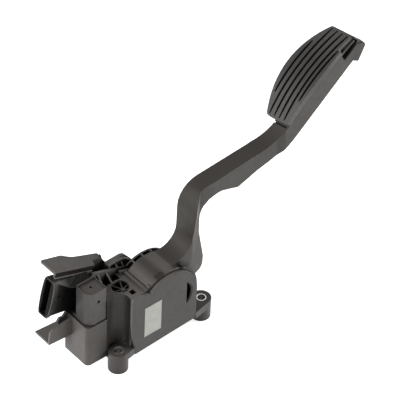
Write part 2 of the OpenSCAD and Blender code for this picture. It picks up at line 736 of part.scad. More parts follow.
// Plate on the near side of the arm's end, with the recess between it and the pad
hook_x = pad_l - 17;
slot_up = -8.6;
module arm_hook() {
    in_pad() {
        across(arm_near_y, arm_near_y + 3.6) polygon(rounded([
            [hook_x - 6, -pad_t - 1, 0], [arm_end - 2, -pad_t - 1, 0], [pad_l + 1.6, -0.6, 0.5],
            [pad_l + 3.8, -16, 1.5], [pad_l + 2.6, -18.2, 1], [hook_x, -arm_depth + 1, 0]]));
        across(arm_near_y - 1.2, arm_near_y + 3.6) polygon(rounded([
            [hook_x, slot_up, 0.6], [hook_x + 15.4, slot_up, 1], [pad_l + 3.8, -15.8, 1.5], [pad_l + 2.8, -19, 1],
            [hook_x + 6.4, -25, 1]]));
    }
}
module hook_recess() {
    in_pad() {
        across(arm_near_y - 2, arm_near_y + 2.1) polygon(rounded([
            [hook_x, slot_up, 0.5], [hook_x + 3, 3, 2], [pad_l + 0.6, 3, 1], [pad_l + 1.4, slot_up, 1]]));
        across(arm_near_y - 2, arm_near_y + 3) polygon([
            [hook_x + 0.2, slot_up], [hook_x + 1, slot_up + 1.8], [hook_x + 14.6, slot_up + 1.8],
            [hook_x + 14.6, slot_up]]);
    }
}
// The room of the pad, which stands back behind the recess at its near edge
module pad_setback() {
    upward(-30, 30) polygon(rounded([[hook_x + 0.6, -10, 0], [hook_x + 3, arm_near_y + 2.2, 2],
        [pad_l + 20, arm_near_y + 2.2, 0], [pad_l + 20, -10, 0]]));
}
module pad_space() {
    in_pad() difference() {
        intersection() {
            across(corner_y, 2 * arm_far_y) crown_band(-pad_t, 20, -3);
            upward(-30, 30) pad_plan(0);
        }
        pad_setback();
    }
}
// The shelf under the pad, and the slot across the arm at its lower end
module pad_seat() {
    in_pad() intersection() {
        across(arm_near_y - 3, arm_near_y + 40) crown_band(-pad_t - 2.4, -pad_t, -3);
        upward(-30, 30) pad_plan(1);
    }
}
module pad_slot() {
    y = [arm_near_y + 1.6, arm_far_y + 4];
    in_pad() upward(-pad_t - arm_t + 0.8, 4) polygon([
        [skewed(y[0]) - 2.4, y[0]], [skewed(y[0]) - 1.1, y[0]],
        [skewed(y[1]) - 1.1, y[1]], [skewed(y[1]) - 2.4, y[1]]]);
}
module pedal_arm() {
    color("dimgray") difference() {
        union() {
            difference() {
                union() {
                    arm_body();
                    pivot_ring(drum_r - rim_t, drum_r, rim_y0, drum_y1);
                    arm_hook();
                }
                hook_recess();
                pad_slot();
                pad_space();
            }
            pad_seat();
            about_pivot(drum_r - 1, web_y, web_y + web_t);
            about_pivot(hub_r, hub_y0, hub_y1);
            for (i = [0:7])
                translate([pivot_x, 0, pivot_z]) rotate([0, i * 45, 0])
                    block([hub_r - 1, web_y + 1, -0.9], [drum_r - 1, hub_y1, 0.9]);
            nose();
        }
        difference() {
            arm_hollow();
            arm_rib_set();
        }
        pivot_ring(hub_r, drum_r - rim_t, cover_in, web_y);
        about_pivot(bush_out_r + seat_gap, drum_y - 1, far_y);
        about_pivot(drum_r - rim_t, cover_in, hub_y0);
    }
}
module nose() {
    across(nose_y0, nose_y0 + nose_w) translate([pivot_x, pivot_z]) polygon([
        [-nose_out, nose_low], [-drum_r + rim_t + 0.6, nose_low],
        [-drum_r + rim_t + 0.6, nose_low + nose_tip_t + (nose_out - drum_r + rim_t + 0.6) * tan(travel)],
        [-nose_out, nose_low + nose_tip_t]]);
}

// Rubber pad: a crowned band cut to a barrel outline, with its grooves
// Points of the crown, lifted by up, over the pad's length less the inset at each end
function crown_points(up, inset, n = 24) =
    let (r = crown_r + up, o = [pad_l / 2, pad_crown - crown_r])
    let (half = asin((pad_l / 2 - inset) / r))
    [for (i = [0:n]) o + r * [-sin(half - 2 * half * i / n), cos(half - 2 * half * i / n)]];
function reversed(v) = [for (i = [len(v) - 1:-1:0]) v[i]];
module crown_band(low, high, inset) {
    polygon(concat(crown_points(high, inset), reversed(crown_points(low, inset))));
}
// The pad's ends are slanted: how far along the pad an end stands forward at y
pad_skew = 3;
pad_near_bulge = 1.6;
pad_corner = 3;
function skewed(y) = 0.6 + pad_skew * (0.5 - (y - arm_near_y) / pad_w);
module in_pad() {
    translate([pad_x, 0, pad_z]) rotate([0, -pad_angle, 0]) children();
}
module pad_plan(inset) {
    n = 16;
    far = [for (i = [0:n]) let (u = 2 * i / n - 1, y = arm_near_y + pad_w + pad_bulge * (1 - u * u))
        [pad_l / 2 + u * (pad_l / 2 - inset) + skewed(arm_near_y + pad_w), y - inset, abs(u) == 1 ? pad_corner : 0]];
    near = [for (i = [0:n]) let (u = 1 - 2 * i / n, y = arm_near_y - pad_near_bulge * (1 - u * u))
        [pad_l / 2 + u * (pad_l / 2 - inset) + skewed(arm_near_y), y + inset, abs(u) == 1 ? pad_corner - 1 : 0]];
    polygon(rounded(concat(far, near)));
}
// A groove from a to b along the pad, bowed sideways and drawn thinner at its ends
module groove(y, bow, a, b, n = 12) {
    middle = [for (i = [0:n]) let (x = a + (b - a) * i / n, u = 2 * x / pad_l - 1, v = 2 * i / n - 1)
        [x, y + bow * (1 - u * u), groove_w / 2 * (1 - 0.5 * pow(v, 6))]];
    intersection() {
        across(y - groove_w, y + bow + groove_w) crown_band(-groove_d, 3, -2.8);
        upward(-30, 30) polygon(concat(
            [for (p = middle) [p[0], p[1] + p[2]]], reversed([for (p = middle) [p[0], p[1] - p[2]]])));
    }
}
groove_pitch = 5.15;
groove_inset = 2;
module pedal_pad() {
    color("darkslategray") in_pad() difference() {
        intersection() {
            across(arm_near_y - 5, arm_near_y + 40) crown_band(-pad_t, 0, -3);
            upward(-30, 30) pad_plan(0);
        }
        pad_setback();
        for (i = [0:3]) {
            y = arm_near_y + 4.4 + i * groove_pitch;
            groove(y, 1.8, skewed(y) + groove_inset, skewed(y) + pad_l - groove_inset);
        }
        groove(27.4, 2.6, 17.5, pad_l - 19.5);
        groove(3.8, 1.6, 22.5, pad_l - 14.5);
    }
}

// Pin, bushes, friction ring and springs
module pivot_pin() {
    color("silver") difference() {
        about_pivot(pin_r, pin_y0, pin_y1);
        pivot_ring(groove_r, pin_r + 1, clip_y, clip_y + clip_t);
    }
}
module pin_clip() {
    color("gray") difference() {
        pivot_ring(groove_r + seat_gap, pin_r + 2, clip_y + seat_gap, clip_y + clip_t - seat_gap);
        translate([pivot_x, clip_y - 1, pivot_z]) block([-2, 0, -10], [2, clip_t + 2, 0]);
    }
}
module bush_near() {
    color("tan") pivot_ring(bush_in_r, bush_out_r, hub_y0, hub_y0 + bush_l);
}
module bush_far() {
    color("tan") pivot_ring(bush_in_r, bush_out_r, hub_y1 - bush_l, hub_y1);
}
module friction_ring() {
    color("ivory") pivot_ring(pin_r + 0.3, hub_r - 1.5, ring_y0, ring_y0 + ring_t);
}
// A coil about the pivot, as one swept tube
module coil(r, wire, y1, turns) {
    sides = 6;
    steps = 24 * turns;
    pitch = 2 * wire + 0.25;
    rings = [for (i = [0:steps]) for (k = [0:sides - 1])
        let (a = 15 * i, b = 60 * k, q = r + wire * cos(b))
        [pivot_x + q * cos(a), y1 - wire - pitch * i / 24 - wire * sin(b), pivot_z + q * sin(a)]];
    ends = [[for (k = [0:sides - 1]) k], [for (k = [sides - 1:-1:0]) steps * sides + k]];
    skin = [for (i = [0:steps - 1]) for (k = [0:sides - 1])
        [i * sides + k, (i + 1) * sides + k, (i + 1) * sides + (k + 1) % sides, i * sides + (k + 1) % sides]];
    polyhedron(points = rings, faces = concat(ends, skin));
}
module spring_outer() {
    color("darkgray") coil(drum_r - rim_t - spring_wire_r - 1.5, spring_wire_r, web_y - 0.3, spring_turns);
}
module spring_inner() {
    color("darkgray") coil(hub_r + inner_wire_r + 2, inner_wire_r, web_y - 0.3, spring_turns);
}

// Position sensor: a track board on the cover and a wiper on the hub
board_r = hub_r + 9;
carrier_r = hub_r + 6;
module track_board() {
    color("seagreen") pivot_ring(hub_r - 1.6, board_r, cover_in + 0.05, cover_in + 0.05 + board_t);
}
module wiper_carrier() {
    color("ivory") pivot_ring(pin_r + 0.5, carrier_r, drum_y + 0.05, hub_y0 - 0.05);
}
module wiper_contacts() {
    color("gold") intersection() {
        for (r = [hub_r + 0.5, carrier_r - 2.5])
            pivot_ring(r, r + 1.4, cover_in + 0.15 + board_t, drum_y + 0.05);
        translate([pivot_x, cover_y, pivot_z]) block([0, 0, 0], [20, 10, 8]);
    }
}

// Rubber buffers on the ledges
module idle_stop() {
    color("black") translate([buffer_x, nose_y0 + nose_w / 2, lower_ledge_z + ledge_t])
        cylinder(r = buffer_r, h = buffer_h);
}
module full_stop() {
    color("black") translate([buffer_x, nose_y0 + nose_w / 2, upper_ledge_z - buffer_h])
        cylinder(r = buffer_r, h = buffer_h);
}

housing();
side_cover();
sensor_box();
sensor_cap();
cap_seal();
upper_guard();
pedal_arm();
pedal_pad();
pivot_pin();
pin_clip();
bush_near();
bush_far();
friction_ring();
spring_outer();
spring_inner();
track_board();
wiper_carrier();
wiper_contacts();
terminals();
sleeve_front();
sleeve_rear();
sleeve_far();
label_plate();
idle_stop();
full_stop();
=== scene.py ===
import math

import bmesh
import bpy
from mathutils import Matrix, Vector


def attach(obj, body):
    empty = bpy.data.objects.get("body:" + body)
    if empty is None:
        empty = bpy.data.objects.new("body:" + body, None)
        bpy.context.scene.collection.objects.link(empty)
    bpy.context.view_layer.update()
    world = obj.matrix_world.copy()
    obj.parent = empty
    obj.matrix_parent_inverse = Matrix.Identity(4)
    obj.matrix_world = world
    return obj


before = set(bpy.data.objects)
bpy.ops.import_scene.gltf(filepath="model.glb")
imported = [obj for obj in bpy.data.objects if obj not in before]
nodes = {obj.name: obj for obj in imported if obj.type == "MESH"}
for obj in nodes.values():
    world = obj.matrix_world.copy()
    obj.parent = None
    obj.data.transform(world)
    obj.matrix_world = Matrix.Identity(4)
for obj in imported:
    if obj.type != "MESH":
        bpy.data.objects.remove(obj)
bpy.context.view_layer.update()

# Studio. The pedal stands on its three boss feet on a pale floor, and the camera looks
# down on the corner between the label side and the plug end, as the photograph does.
# Wide lamps from the plug end, the label side and the arm's side, in a pale room.


def put(name, data):
    """A new object of that data, linked to the scene."""
    made = bpy.data.objects.new(name, data)
    bpy.context.scene.collection.objects.link(made)
    return made


turn, tip, roll = math.radians(47.4), math.radians(42.0), math.radians(2.9)
look = Vector((math.cos(turn) * math.cos(tip), math.sin(turn) * math.cos(tip), -math.sin(tip)))
level = Vector((math.sin(turn), -math.cos(turn), 0))
upright = level.cross(look)
right = level * math.cos(roll) + upright * math.sin(roll)
up = upright * math.cos(roll) - level * math.sin(roll)
picture_px, focal_px, px_per_mm = 400, 2400, 1.27
distance = focal_px / px_per_mm / 1000
boss_top_z = 0.0192
boss_px = (118.3, 350.0)
aside = (boss_px[0] - picture_px / 2) / focal_px * distance
above = (picture_px / 2 - boss_px[1]) / focal_px * distance
camera_data = bpy.data.cameras.new("camera")
camera_data.sensor_width = 36
camera_data.lens = focal_px / picture_px * camera_data.sensor_width
camera = put("camera", camera_data)
camera_place = Matrix((right, up, -look)).transposed().to_4x4()
camera_place.translation = Vector((0, 0, boss_top_z)) - (right * aside + up * above + look * distance)
camera.matrix_world = camera_place
bpy.context.scene.camera = camera
bpy.context.scene.view_settings.view_transform = "Standard"


def lamp(name, towards, size, power):
    """A square lamp of that size in metres, at one distance from the pedal's middle."""
    data = bpy.data.lights.new(name, "AREA")
    data.size = size
    data.energy = power
    made = put(name, data)
    pedal_middle, lamp_distance = Vector((0.1, 0.015, 0.09)), 1.1
    made.location = pedal_middle + Vector(towards).normalized() * lamp_distance
    made.rotation_euler = Vector(towards).to_track_quat("Z", "Y").to_euler()


lamp("plug_end_lamp", (-1, 0.0, 0.5), 0.45, 14.5)
lamp("label_side_lamp", (0.45, -1, 0.12), 0.6, 4.2)
lamp("arm_side_lamp", (1, -0.55, 0.25), 0.6, 12.5)

room = bpy.data.worlds.new("room")
room.use_nodes = True
bpy.context.scene.world = room
sky = room.node_tree.nodes["Background"]
sky.inputs["Color"].default_value = (1, 1, 1, 1)


def between(tree, value, start, end, low=0.0, high=1.0):
    """A number that goes from low to high as value goes from start to end."""
    span = tree.nodes.new("ShaderNodeMapRange")
    span.inputs["From Min"].default_value = start
    span.inputs["From Max"].default_value = end
    span.inputs["To Min"].default_value = low
    span.inputs["To Max"].default_value = high
    tree.links.new(value, span.inputs["Value"])
    return span.outputs["Result"]


def seen_or_mirrored(tree, lit, seen):
    """A strength that is lit for soft light, and seen where the camera or a mirror looks."""
    rays = tree.nodes.new("ShaderNodeLightPath")
    total = rays.outputs["Is Camera Ray"]
    for ray in ("Is Transmission Ray", "Is Glossy Ray"):
        added = tree.nodes.new("ShaderNodeMath")
        added.operation = "ADD"
        added.use_clamp = True
        tree.links.new(total, added.inputs[0])
        tree.links.new(rays.outputs[ray], added.inputs[1])
        total = added.outputs[0]
    return between(tree, total, 0.0, 1.0, lit, seen)


room.node_tree.links.new(seen_or_mirrored(room.node_tree, 0.14, 1.0), sky.inputs["Strength"])


def finish_of(name, colour, roughness, gloss=0.5, metallic=0.0):
    """A new material with its node tree and shader, whose plain values are set on the shader."""
    made = bpy.data.materials.new(name)
    made.use_nodes = True
    shader = made.node_tree.nodes["Principled BSDF"]
    shader.inputs["Base Color"].default_value = (*colour, 1)
    shader.inputs["Roughness"].default_value = roughness
    shader.inputs["Specular IOR Level"].default_value = gloss
    shader.inputs["Metallic"].default_value = metallic
    return made, made.node_tree, shader


paper, paper_tree, paper_shader = finish_of("floor_paper", (0.85, 0.85, 0.85), 0.9, 0.1)
paper_shader.inputs["Emission Color"].default_value = (1, 1, 1, 1)
paper_tree.links.new(seen_or_mirrored(paper_tree, 0.0, 0.8), paper_shader.inputs["Emission Strength"])
floor_half, under_feet = 3, 0.0005
floor_corners = [(x * floor_half, y * floor_half, 0) for x, y in ((-1, -1), (1, -1), (1, 1), (-1, 1))]
floor_mesh = bpy.data.meshes.new("floor")
floor_mesh.from_pydata(floor_corners, [], [(0, 1, 2, 3)])
floor_mesh.materials.append(paper)
floor = put("floor", floor_mesh)
floor.location.z = -under_feet

# Housing. One moulding in glass-filled nylon: the floor, the far wall with its ribbed
# rim round the dome, the deck with its pockets, the scoop over the front boss and the
# three bosses. It comes matt from a finely eroded mould, with faint flow marks.


def cloud(tree, size, detail=3.0, stretch=(1, 1, 1)):
    """Soft noise on the piece's own coordinates, with patches of about that size in metres."""
    where = tree.nodes.new("ShaderNodeTexCoord")
    scaled = tree.nodes.new("ShaderNodeMapping")
    scaled.inputs["Scale"].default_value = stretch
    tree.links.new(where.outputs["Object"], scaled.inputs["Vector"])
    noise = tree.nodes.new("ShaderNodeTexNoise")
    noise.inputs["Scale"].default_value = 1 / size
    noise.inputs["Detail"].default_value = detail
    tree.links.new(scaled.outputs["Vector"], noise.inputs["Vector"])
    return noise.outputs["Fac"]


cloud_low, cloud_high = 0.3, 0.7


def ramp(tree, value, low, high, start=cloud_low, end=cloud_high):
    """Two colours blended as value goes from start to end."""
    made = tree.nodes.new("ShaderNodeValToRGB")
    made.color_ramp.elements[0].position = start
    made.color_ramp.elements[0].color = (*low, 1)
    made.color_ramp.elements[1].position = end
    made.color_ramp.elements[1].color = (*high, 1)
    tree.links.new(value, made.inputs["Fac"])
    return made.outputs["Color"]


def uneven_gloss(tree, shader, value, low, high):
    """A roughness that goes from low to high over a cloud."""
    tree.links.new(between(tree, value, cloud_low, cloud_high, low, high), shader.inputs["Roughness"])


def grain(tree, shader, size, depth, edge):
    """Eroded mould grain of that size and depth, on edges rounded to the radius edge."""
    soft_edge = tree.nodes.new("ShaderNodeBevel")
    soft_edge.samples = 6
    soft_edge.inputs["Radius"].default_value = edge
    bump = tree.nodes.new("ShaderNodeBump")
    bump.inputs["Strength"].default_value = 1.0
    bump.inputs["Distance"].default_value = depth
    tree.links.new(cloud(tree, size, 2.0), bump.inputs["Height"])
    tree.links.new(soft_edge.outputs["Normal"], bump.inputs["Normal"])
    tree.links.new(bump.outputs["Normal"], shader.inputs["Normal"])


def painted_recess_shade(tree, colour, reach, least):
    """That colour with painted shade, down to its least share in recesses with other walls within reach.
    """
    openness = tree.nodes.new("ShaderNodeAmbientOcclusion")
    openness.samples = 8
    openness.inputs["Distance"].default_value = reach
    closed, open_air = 0.25, 0.85
    share = between(tree, openness.outputs["AO"], closed, open_air, least, 1.0)
    dimmed = tree.nodes.new("ShaderNodeVectorMath")
    dimmed.operation = "SCALE"
    dimmed.name = "shade"
    tree.links.new(colour, dimmed.inputs[0])
    tree.links.new(share, dimmed.inputs["Scale"])
    return dimmed.outputs[0]


def moulded(name, dark, pale, roughness, grain_depth, edge, gloss=0.25, least=0.08):
    """Moulded glass-filled nylon: cloudy colour with painted shade in recesses, uneven gloss and eroded
    grain.
    """
    made, tree, shader = finish_of(name, dark, roughness, gloss)
    body = ramp(tree, cloud(tree, 0.012, 4.0), dark, pale)
    tree.links.new(painted_recess_shade(tree, body, 0.014, least), shader.inputs["Base Color"])
    uneven_gloss(tree, shader, cloud(tree, 0.004), roughness - 0.05, roughness + 0.07)
    grain(tree, shader, 0.00055, grain_depth, edge)
    return made


def clouded_nylon(name, grey=1.0, least=0.08):
    """The housing's nylon, at its own level of grey."""
    dark = (0.048 * grey, 0.043 * grey, 0.040 * grey)
    pale = (0.060 * grey, 0.054 * grey, 0.050 * grey)
    return moulded(name, dark, pale, 0.46, 0.00003, 0.0005, least=least)


def share_along(tree, direction, none_at, all_at, of="Object"):
    """A share that rises from nothing to all between two places along a direction, in metres.
    Where of is Normal, the places are how far the face turns that way, from -1 to 1."""
    where = tree.nodes.new("ShaderNodeTexCoord")
    measure = tree.nodes.new("ShaderNodeVectorMath")
    measure.operation = "DOT_PRODUCT"
    measure.inputs[1].default_value = direction
    tree.links.new(where.outputs[of], measure.inputs[0])
    return between(tree, measure.outputs["Value"], none_at, all_at)


def share_round(tree, centre, all_to, none_from, axes=(1, 1, 1)):
    """A share that is all round a point and nothing further off, in metres.
    With 0 for an axis it doesn't count, so (1, 1, 0) is all round an upright line."""
    where = tree.nodes.new("ShaderNodeTexCoord")
    counted = tree.nodes.new("ShaderNodeVectorMath")
    counted.operation = "MULTIPLY"
    counted.inputs[1].default_value = axes
    away = tree.nodes.new("ShaderNodeVectorMath")
    away.operation = "DISTANCE"
    away.inputs[1].default_value = centre
    tree.links.new(where.outputs["Object"], counted.inputs[0])
    tree.links.new(counted.outputs[0], away.inputs[0])
    return between(tree, away.outputs["Value"], none_from, all_to)


def all_of(tree, *shares):
    """The product of shares, for a tone that keeps within several marks at once."""
    total = shares[0]
    for share in shares[1:]:
        product = tree.nodes.new("ShaderNodeMath")
        product.operation = "MULTIPLY"
        tree.links.new(total, product.inputs[0])
        tree.links.new(share, product.inputs[1])
        total = product.outputs[0]
    return total


def toned(material, share, tone, under_shade=False):
    """Puts a tone over a finish by share. It is a plain colour, or a ramp where it varies,
    and with under_shade it still takes the painted shade in recesses as the rest does."""
    tree = material.node_tree
    target = tree.nodes["Principled BSDF"].inputs["Base Color"]
    if under_shade:
        target = tree.nodes["shade"].inputs[0]
    over = tree.nodes.new("ShaderNodeMix")
    over.data_type = "RGBA"
    tree.links.new(share, over.inputs[0])
    tree.links.new(target.links[0].from_socket, over.inputs[6])
    if isinstance(tone, tuple):
        over.inputs[7].default_value = (*tone, 1)
    else:
        tree.links.new(tone, over.inputs[7])
    tree.links.new(over.outputs[2], target)


def rounds_tree():
    """A node tree that joins loose triangles and shades their rounds smooth up to an angle."""
    tree = bpy.data.node_groups.new("smooth_rounds", "GeometryNodeTree")
    tree.interface.new_socket("Geometry", in_out="INPUT", socket_type="NodeSocketGeometry")
    tree.interface.new_socket("Sharp from", in_out="INPUT", socket_type="NodeSocketFloat")
    tree.interface.new_socket("Geometry", in_out="OUTPUT", socket_type="NodeSocketGeometry")
    given = tree.nodes.new("NodeGroupInput")
    result = tree.nodes.new("NodeGroupOutput")
    joined = tree.nodes.new("GeometryNodeMergeByDistance")
    joined.inputs["Distance"].default_value = 0.000002
    soft = tree.nodes.new("GeometryNodeSetShadeSmooth")
    corner = tree.nodes.new("GeometryNodeInputMeshEdgeAngle")
    sharp = tree.nodes.new("FunctionNodeCompare")
    edges = tree.nodes.new("GeometryNodeSetShadeSmooth")
    edges.domain = "EDGE"
    edges.inputs["Shade Smooth"].default_value = False
    tree.links.new(given.outputs["Geometry"], joined.inputs["Geometry"])
    tree.links.new(joined.outputs["Geometry"], soft.inputs["Geometry"])
    tree.links.new(corner.outputs["Unsigned Angle"], sharp.inputs["A"])
    tree.links.new(given.outputs["Sharp from"], sharp.inputs["B"])
    tree.links.new(soft.outputs["Geometry"], edges.inputs["Geometry"])
    tree.links.new(sharp.outputs["Result"], edges.inputs["Selection"])
    tree.links.new(edges.outputs["Geometry"], result.inputs["Geometry"])
    return tree


smooth_rounds = rounds_tree()
sharp_from = math.radians(24)


def dress(node, material):
    """Gives a CAD node its finish, and shades its fillets and cylinders smooth."""
    part = nodes[node]
    part.data.materials.clear()
    part.data.materials.append(material)
    rounds = part.modifiers.new("rounds", "NODES")
    rounds.node_group = smooth_rounds
    angle = smooth_rounds.interface.items_tree["Sharp from"].identifier
    rounds[angle] = sharp_from
    part.modifiers.new("flats", "WEIGHTED_NORMAL").keep_sharp = True


nylon = clouded_nylon("housing_nylon")
nylon_tree = nylon.node_tree
deck_z = 0.072
# Painted light: the deck's top is paler.
painted_light_on_deck = share_along(nylon_tree, (0, 0, 1), deck_z - 0.0006, deck_z - 0.0002)
toned(nylon, painted_light_on_deck, (0.088, 0.081, 0.075), under_shade=True)
# Painted shade: the bosses' sides are darker, and so is the scoop over the front boss towards its deep
# side.
scoop_r = 0.0088
near_boss = share_round(nylon_tree, (0, 0, 0), scoop_r + 0.0003, scoop_r + 0.0006, (1, 1, 0))
below_top = share_along(nylon_tree, (0, 0, 1), boss_top_z - 0.0003, boss_top_z - 0.0008)
toned(nylon, all_of(nylon_tree, near_boss, below_top), (0.034, 0.030, 0.028), under_shade=True)
over_boss = share_along(nylon_tree, (0, 0, 1), boss_top_z + 0.0002, boss_top_z + 0.003)
into_scoop = share_along(nylon_tree, (1, 0, 0), 0.002, 0.0085)
painted_scoop_shade = ramp(nylon_tree, into_scoop, (0.034, 0.031, 0.028), (0.008, 0.007, 0.007), 0.0, 1.0)
toned(nylon, all_of(nylon_tree, near_boss, over_boss), painted_scoop_shade)
dress("housing", nylon)


def piece(name, points, faces, material, body, edge=0.00015):
    """A closed piece from its points in millimetres, with edges broken by that bevel."""
    shape = bmesh.new()
    corners = [shape.verts.new(Vector(point) / 1000) for point in points]
    for face in faces:
        shape.faces.new([corners[i] for i in face])
    bmesh.ops.recalc_face_normals(shape, faces=shape.faces)
    mesh = bpy.data.meshes.new(name)
    shape.to_mesh(mesh)
    shape.free()
    mesh.materials.append(material)
    made = put(name, mesh)
    broken = made.modifiers.new("edges", "BEVEL")
    broken.width = edge
    broken.segments = 2
    broken.limit_method = "ANGLE"
    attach(made, body)


def plate(name, outline, y0, y1, material, body, origin=(0, 0), tilt=0.0):
    """A plate from y0 to y1 whose outline in X and Z stands at origin, turned by tilt degrees."""
    turned = math.radians(tilt)
    placed = [(origin[0] + x * math.cos(turned) + z * math.sin(turned),
               origin[1] - x * math.sin(turned) + z * math.cos(turned)) for x, z in outline]
    count = len(placed)
    points = [(x, y, z) for y in (y0, y1) for x, z in placed]
    sides = [(i, (i + 1) % count, count + (i + 1) % count, count + i) for i in range(count)]
    caps = [tuple(range(count)), tuple(range(2 * count - 1, count - 1, -1))]
    piece(name, points, sides + caps, material, body)


hood_top = [(13.2, 80.6), (20, 81.3), (27, 80.9), (31, 79.0), (34.5, 75.5), (37.5, 71.5)]
hood_lid_t = 1.3
hood_under = [(x, z - hood_lid_t) for x, z in reversed(hood_top)]
plate("hood_lid", hood_top + hood_under, 29.4, 32.3, nylon, "housing")

# Sensor box. The lower box at the plug end, which the board's wires run down into, with
# the tray under the socket moulded on. Same nylon, with painted light on the tray, which is paler.
box_nylon = clouded_nylon("box_nylon")
painted_light_on_tray = share_along(box_nylon.node_tree, (1, 0, 0), -0.0262, -0.027)
toned(box_nylon, painted_light_on_tray, (0.092, 0.084, 0.079))
dress("sensor_box", box_nylon)

# Tray finger. The curved finger that stands between the box and the tray and holds the
# tray's edge. It is moulded on to the box, in the same nylon, with the tray's painted light.
tray_finger = [(-25.9, 40.5), (-29.5, 40.5), (-35.0, 44.5), (-36.6, 49.0), (-34.2, 51.6),
               (-31.2, 50.9), (-28.6, 53.6), (-27.3, 54.9), (-25.9, 52.8)]
plate("tray_finger", tray_finger, 31.0, 32.8, box_nylon, "housing")

# Sensor cap. The upper box with the tower and the plug socket, in nylon, set on the
# sensor box over the seal. Painted shade darkens its faces towards the plug end, blackens
# the socket's walls towards their root, and makes its mouth and inside black.


def within(tree, direction, low, high, blur=0.0002):
    """All between two places along a direction, in metres, and nothing outside them."""
    from_low = share_along(tree, direction, low - blur, low + blur)
    to_high = share_along(tree, direction, high + blur, high - blur)
    return all_of(tree, from_low, to_high)


def dulled(material, share, gloss):
    """Takes a finish's gloss down to that level by share."""
    tree = material.node_tree
    target = tree.nodes["Principled BSDF"].inputs["Specular IOR Level"]
    tree.links.new(between(tree, share, 0.0, 1.0, target.default_value, gloss), target)


socket_tilt = math.radians(13)
socket_root = Vector((-22.4, 33.8, 73.8))
socket_l, socket_half_h = 24, 17.3
socket_axis = Vector((math.cos(socket_tilt), 0, -math.sin(socket_tilt)))
up_socket = Vector((-socket_axis.z, 0, socket_axis.x))
root_along = socket_axis.dot(socket_root) / 1000
root_up = up_socket.dot(socket_root) / 1000
root_y = 0.0338
cavity_half_w, cavity_half_h = 0.0036, 0.0161
cap_nylon = clouded_nylon("cap_nylon")
cap_tree = cap_nylon.node_tree
# Painted shade on the faces that turn towards the plug end.
plug_side_shade = share_along(cap_tree, (-1, 0, 0), 0.5, 0.95, "Normal")
toned(cap_nylon, plug_side_shade, (0.032, 0.030, 0.028), under_shade=True)
# Painted shade, blacker towards the socket's root, where the tower and guard shade it.
on_socket = share_along(cap_tree, (0, 1, 0), 0.0245, 0.027)
to_root = share_along(cap_tree, socket_axis, root_along - 0.023, root_along - 0.009)
painted_root_shade = ramp(cap_tree, to_root, (0.030, 0.028, 0.027), (0.003, 0.003, 0.003), 0.0, 1.0)
toned(cap_nylon, on_socket, painted_root_shade)
# Painted shade: the mouth's end face and the cavity inside it are black.
mouth_face_shade = share_along(cap_tree, socket_axis, root_along - 0.0229, root_along - 0.0232)
toned(cap_nylon, mouth_face_shade, (0.006, 0.006, 0.006))
cavity_shade = all_of(cap_tree,
                   within(cap_tree, (0, 1, 0), root_y - cavity_half_w, root_y + cavity_half_w),
                   within(cap_tree, up_socket, root_up - cavity_half_h, root_up + cavity_half_h),
                   within(cap_tree, socket_axis, root_along - 0.025, root_along))
toned(cap_nylon, cavity_shade, (0.003, 0.003, 0.003))
duller_to_root = share_along(cap_tree, socket_axis, root_along - 0.023, root_along - 0.015)
dulled(cap_nylon, all_of(cap_tree, on_socket, duller_to_root), 0.04)
dress("sensor_cap", cap_nylon)

# Socket mouth. The lip that the plug snaps over: a collar with bulged long sides, a
# web inside it that narrows the mouth, and a flare behind it down to the socket's
# walls. All three are moulded with the cap. The web is painted black as shade, the
# collar is painted paler as light on its edge, and the flare darker as shade.


def bowed(near, far, half_h, bow, steps=14):
    """An outline in Y and Z whose two long sides bulge by bow, from near to far of the axis."""
    heights = [half_h * (2 * i / steps - 1) for i in range(steps + 1)]
    corner_cut = 0.9
    swell = [bow * (1 - (z / half_h) ** 2) - corner_cut * (abs(z) > 0.99 * half_h) for z in heights]
    return ([(-near - s, z) for s, z in zip(swell, heights)] +
            [(far + s, z) for s, z in reversed(list(zip(swell, heights)))])


def socket_ring(name, front, back, material, edge):
    """A ring round the socket, from front to back, each (place along it, outer, inner outline)."""
    count = len(front[1])
    points = [socket_root + socket_axis * end[0] + Vector((0, y, 0)) + up_socket * z
              for end in (front, back) for outline in end[1:] for y, z in outline]
    faces = []
    for i in range(count):
        j = (i + 1) % count
        for a, b in ((0, 1), (1, 3), (3, 2), (2, 0)):
            faces.append((a * count + i, a * count + j, b * count + j, b * count + i))
    piece(name, points, faces, material, "housing", edge)


# Black for the painted shade inside the socket's mouth.
socket_shade_black = moulded("socket_shade_black", (0.004, 0.004, 0.004), (0.006, 0.006, 0.006), 0.5,
                       0.00002, 0.0002, gloss=0.05)
mouth = bowed(6.5, 5.0, socket_half_h, 1.2)
mouth_inside = bowed(5.7, 4.2, socket_half_h - 0.9, 1.2)
# The collar is a paler copy of the nylon as painted light, and the flare a darker one as painted shade.
socket_ring("socket_collar", (-socket_l, mouth, mouth_inside), (1.0 - socket_l, mouth, mouth_inside),
            clouded_nylon("collar_lit_nylon", 1.1), 0.0003)
web_rim = bowed(5.8, 4.3, socket_half_h - 0.85, 1.2)
cavity = bowed(3.4, 3.4, socket_half_h - 1.5, 0.1)
socket_ring("collar_web", (-socket_l - 0.06, web_rim, cavity), (1.2 - socket_l, web_rim, cavity),
            socket_shade_black, 0.00002)
wall = bowed(4.9, 4.85, socket_half_h - 0.1, 0)
in_wall = bowed(4.2, 4.2, socket_half_h - 0.8, 0)
socket_ring("socket_flare", (1.1 - socket_l, mouth, mouth_inside), (6.5 - socket_l, wall, in_wall),
            clouded_nylon("flare_shaded_nylon", 0.7), 0.0001)

